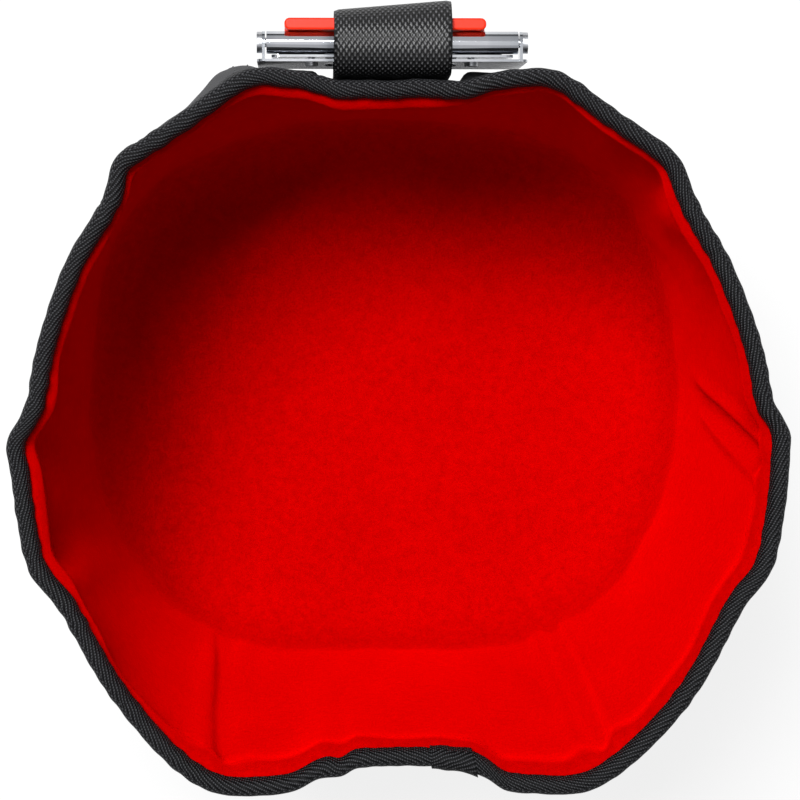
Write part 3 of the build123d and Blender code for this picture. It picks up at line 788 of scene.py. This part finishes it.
# ------------------------------------------------------------------ webbing loop
LOOP_JOIN_DROP = 34 * MM               # from the pivot to where its two plies part
LOOP_SLACK = 1.55 * MM                 # at the middle of its width
LOOP_SLACK_LEAN = 2.05 * MM            # more at the right edge, and less at the left
LOOP_HALF_PLY = 0.9 * MM
LOOP_PLY_STEP = 1.9 * MM
LOOP_TURN_END = -math.pi / 4           # where the webbing leaves its round path on the way down
LOOP_STATIONS = 25                     # across its width


def loop_path(slack):
    """Middle line of the webbing in (y, z): up the wall, over the clamp's barrel and down again."""
    low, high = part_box("loop_strap")
    radius = high.y - PIVOT.y - LOOP_HALF_PLY
    inner_y = low.y + LOOP_HALF_PLY
    outer_y = inner_y + LOOP_PLY_STEP
    join = PIVOT.z - LOOP_JOIN_DROP
    path = [(inner_y, z) for z in np.linspace(low.z, join, 14)]
    path += [(inner_y + (PIVOT.y - radius - inner_y) * s, join + (PIVOT.z - join) * s)
             for s in np.linspace(0, 1, 12)[1:-1]]
    for turn in np.linspace(math.pi, LOOP_TURN_END, 46):
        reach = radius + slack * max(0.0, math.cos(turn / 2)) ** 2
        path.append((PIVOT.y + reach * math.cos(turn), PIVOT.z + (radius + 0.3 * slack) * math.sin(turn)))
    last = path[-1]
    path += [(last[0] + (outer_y - last[0]) * s, last[1] + (join - last[1]) * s)
             for s in np.linspace(0, 1, 16)[1:-1]]
    path += [(outer_y, z) for z in np.linspace(join, low.z, 14)]
    return np.array(path)


def make_webbing():
    """Webbing loop round the clamp, looser towards its right edge."""
    low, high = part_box("loop_strap")
    half_width = (high.x - low.x) / 2
    middle_x = (high.x + low.x) / 2
    stations = np.linspace(-1, 1, LOOP_STATIONS)
    rows = []
    for share in stations:
        path = loop_path(LOOP_SLACK + LOOP_SLACK_LEAN * share)
        forward = np.gradient(path, axis=0)
        normal = np.stack([-forward[:, 1], forward[:, 0]], 1)
        normal /= np.linalg.norm(normal, axis=1)[:, None] + 1e-12
        rows.append((path, normal))
    edge = np.minimum(1, (1 - np.abs(stations)) * 12 + 0.35)
    loop = []
    left_to_right = list(range(len(stations)))
    for sign, order in ((1, left_to_right), (-1, left_to_right[::-1])):
        for k in order:
            path, normal = rows[k]
            skin = path + sign * normal * WEBBING_THICKNESS / 2 * edge[k]
            x = np.full((len(path), 1), middle_x + stations[k] * half_width)
            loop.append(np.concatenate([x, skin], 1))
    piece = surface("webbing_loop", np.stack(loop, 1), columns_close=True, caps=True)
    dress(piece, WEBBING, replaced=("loop_strap",))


PATCH_PUCKER = 0.25 * MM
PATCH_BORDER = 2.2 * MM                # stitching in from the patch's upper and lower edges
STRAP_BORDER = 4 * MM                  # and from the strap's edges
STRAP_FACE = 3.75 * MM                 # the strap's outer face above its inner one
CROSS_TOP_DROP = 38 * MM               # pivot to the top of the crossed stitching


def make_patch():
    """Fabric patch behind the loop, with its stitched border and the crossed stitching on the strap."""
    low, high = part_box("back_patch")
    xs, zs = np.linspace(low.x, high.x, 30), np.linspace(low.z, high.z, 40)
    grid = np.array([[(x, high.y - PATCH_PUCKER * abs(math.sin(9 * x / 0.05)), z) for x in xs] for z in zs])
    piece = thicken(surface("back_patch_cloth", grid[:, ::-1]), PATCH_FABRIC)
    dress(piece, SHELL, replaced=("back_patch",))

    strap_low, strap_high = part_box("loop_strap")
    left, right = strap_low.x + STRAP_BORDER, strap_high.x - STRAP_BORDER
    bottom, top = strap_low.z + STRAP_BORDER, PIVOT.z - CROSS_TOP_DROP
    outline = [(left, bottom), (right, bottom), (right, top), (left, top), (left, bottom), (right, top)]
    face = strap_low.y + STRAP_FACE
    runs = straight_runs(list(zip(outline[:-1], outline[1:])) + [((left, top), (right, bottom))], face)

    left, right = low.x + PATCH_BORDER / 2, high.x - PATCH_BORDER / 2
    bottom, top = low.z + PATCH_BORDER, high.z - PATCH_BORDER
    border = [((left, bottom), (left, top)), ((right, bottom), (right, top)),
              ((left, bottom), (right, bottom)), ((left, top), (right, top))]
    stitches("loop_stitching", runs + straight_runs(border, high.y))


def straight_runs(lines, face):
    """Stitch runs along straight lines of (x, z) on a face that looks to the back."""
    normals = np.array([(0, 1, 0), (0, 1, 0)])
    return [(np.array([(x0, face, z0), (x1, face, z1)]), normals) for (x0, z0), (x1, z1) in lines]


# ------------------------------------------------------------------ CAD pieces that stay
KEPT = {
    "base_pan": RUBBER, "base_board": PANEL_PLASTIC, "base_rivets": BLACK_METAL, "floor_foam": FOAM,
    "loop_rivets": BLACK_METAL, "fixed_jaw": CHROME, "leaf_plate": CHROME,
    "pivot_pin": STEEL, "torsion_springs": STEEL, "fixed_jaw_pad": RUBBER, "leaf_rivets": STEEL,
    "moving_jaw": CHROME, "pivot_bushes": NYLON, "release_pad": ORANGE, "pad_rivets": STEEL,
    "moving_jaw_pad": RUBBER,
}


def finish_kept():
    """Materials for the CAD pieces that show as they are."""
    for name, node in frame["nodes"].items():
        material = PANEL_PLASTIC if name.startswith("stiffener") else KEPT.get(name)
        if material:
            node.data.materials.clear()
            node.data.materials.append(material)


make_lining()
make_foam()
make_tape()
make_shell()
for pouch_name, pouch_direction in POUCHES.items():
    make_pouch(pouch_name, pouch_direction)
make_webbing()
make_patch()
finish_kept()


# ------------------------------------------------------------------ stage, lights, camera
FLOOR_REACH = 6.0
FLOOR_GAP = 0.5 * MM                   # keeps the floor off the pan's underside
FLOOR_GLOW = 0.84                      # most of the floor's paleness, so that shadows stay faint
LIGHT_TARGET = (0, 0, 0.1)
TENT_DIFFUSE, TENT_GLOSSY = 0.16, 0.7  # the tent's strength for soft light and in reflections
CAMERA_PLACE = (-0.0415, 0.080, 1.455)
CAMERA_LOOKS = (0.0348, -0.0559, -1.0)
CAMERA_LENS = 128.07                   # millimetres, on a 36 mm wide sensor


def make_stage():
    """Pale floor that reaches well past the object."""
    mesh = bpy.data.meshes.new("floor")
    reach = FLOOR_REACH
    mesh.from_pydata([(-reach, -reach, 0), (reach, -reach, 0), (reach, reach, 0), (-reach, reach, 0)], [],
                     [(0, 1, 2, 3)])
    floor = bpy.data.objects.new("floor", mesh)
    bpy.context.scene.collection.objects.link(floor)
    floor.location.z = -FLOOR_GAP
    paint = Paint("pale_floor", 0.9, specular=0.1)
    paint.color(paint.ramp(paint.noise(3), (0.3, (0.13, 0.13, 0.13)), (0.7, (0.15, 0.15, 0.15))))
    paint.shader.inputs["Emission Color"].default_value = (1, 1, 1, 1)
    paint.shader.inputs["Emission Strength"].default_value = FLOOR_GLOW
    mesh.materials.append(paint.material)


def area_light(name, place, size, power):
    """Soft square light aimed into the bucket."""
    light = bpy.data.lights.new(name, "AREA")
    light.shape = "SQUARE"
    light.size = size
    light.energy = power
    holder = bpy.data.objects.new(name, light)
    holder.location = place
    holder.rotation_euler = (Vector(LIGHT_TARGET) - Vector(place)).to_track_quat("-Z", "Y").to_euler()
    bpy.context.scene.collection.objects.link(holder)


def make_world():
    """Studio tent: bright overhead, dark at the horizon, stronger in reflections."""
    world = bpy.data.worlds.new("studio")
    bpy.context.scene.world = world
    world.use_nodes = True
    nodes, links = world.node_tree.nodes, world.node_tree.links
    place = nodes.new("ShaderNodeTexCoord")
    split = nodes.new("ShaderNodeSeparateXYZ")
    ramp = nodes.new("ShaderNodeValToRGB")
    links.new(place.outputs["Generated"], split.inputs[0])
    links.new(split.outputs["Z"], ramp.inputs["Fac"])
    ramp.color_ramp.elements[0].position = 0.12
    ramp.color_ramp.elements[0].color = (0.05, 0.05, 0.055, 1)
    ramp.color_ramp.elements[1].position = 0.5
    ramp.color_ramp.elements[1].color = (0.8, 0.8, 0.82, 1)
    links.new(ramp.outputs["Color"], nodes["Background"].inputs["Color"])
    reflected = nodes.new("ShaderNodeMapRange")
    reflected.inputs["To Min"].default_value = TENT_DIFFUSE
    reflected.inputs["To Max"].default_value = TENT_GLOSSY
    links.new(nodes.new("ShaderNodeLightPath").outputs["Is Glossy Ray"], reflected.inputs["Value"])
    links.new(reflected.outputs["Result"], nodes["Background"].inputs["Strength"])


def make_camera():
    """Long lens nearly straight above, a little to the back and left of the axis. Right is +X, up is +Y."""
    camera = bpy.data.cameras.new("camera")
    camera.lens = CAMERA_LENS
    camera.sensor_width = 36.0
    holder = bpy.data.objects.new("camera", camera)
    holder.location = CAMERA_PLACE
    backward = -Vector(CAMERA_LOOKS).normalized()
    right = Vector((0, 1, 0)).cross(backward).normalized()
    axes = Matrix((right, backward.cross(right), backward)).transposed()
    holder.rotation_euler = axes.to_euler()
    bpy.context.scene.collection.objects.link(holder)
    bpy.context.scene.camera = holder


make_stage()
area_light("key", (-0.45, 0.74, 2.6), size=0.75, power=104)
area_light("overhead", (0.25, -0.2, 2.4), size=1.2, power=1.5)
make_world()
make_camera()
bpy.context.scene.view_settings.view_transform = "Standard"
bpy.context.scene.view_settings.look = "None"
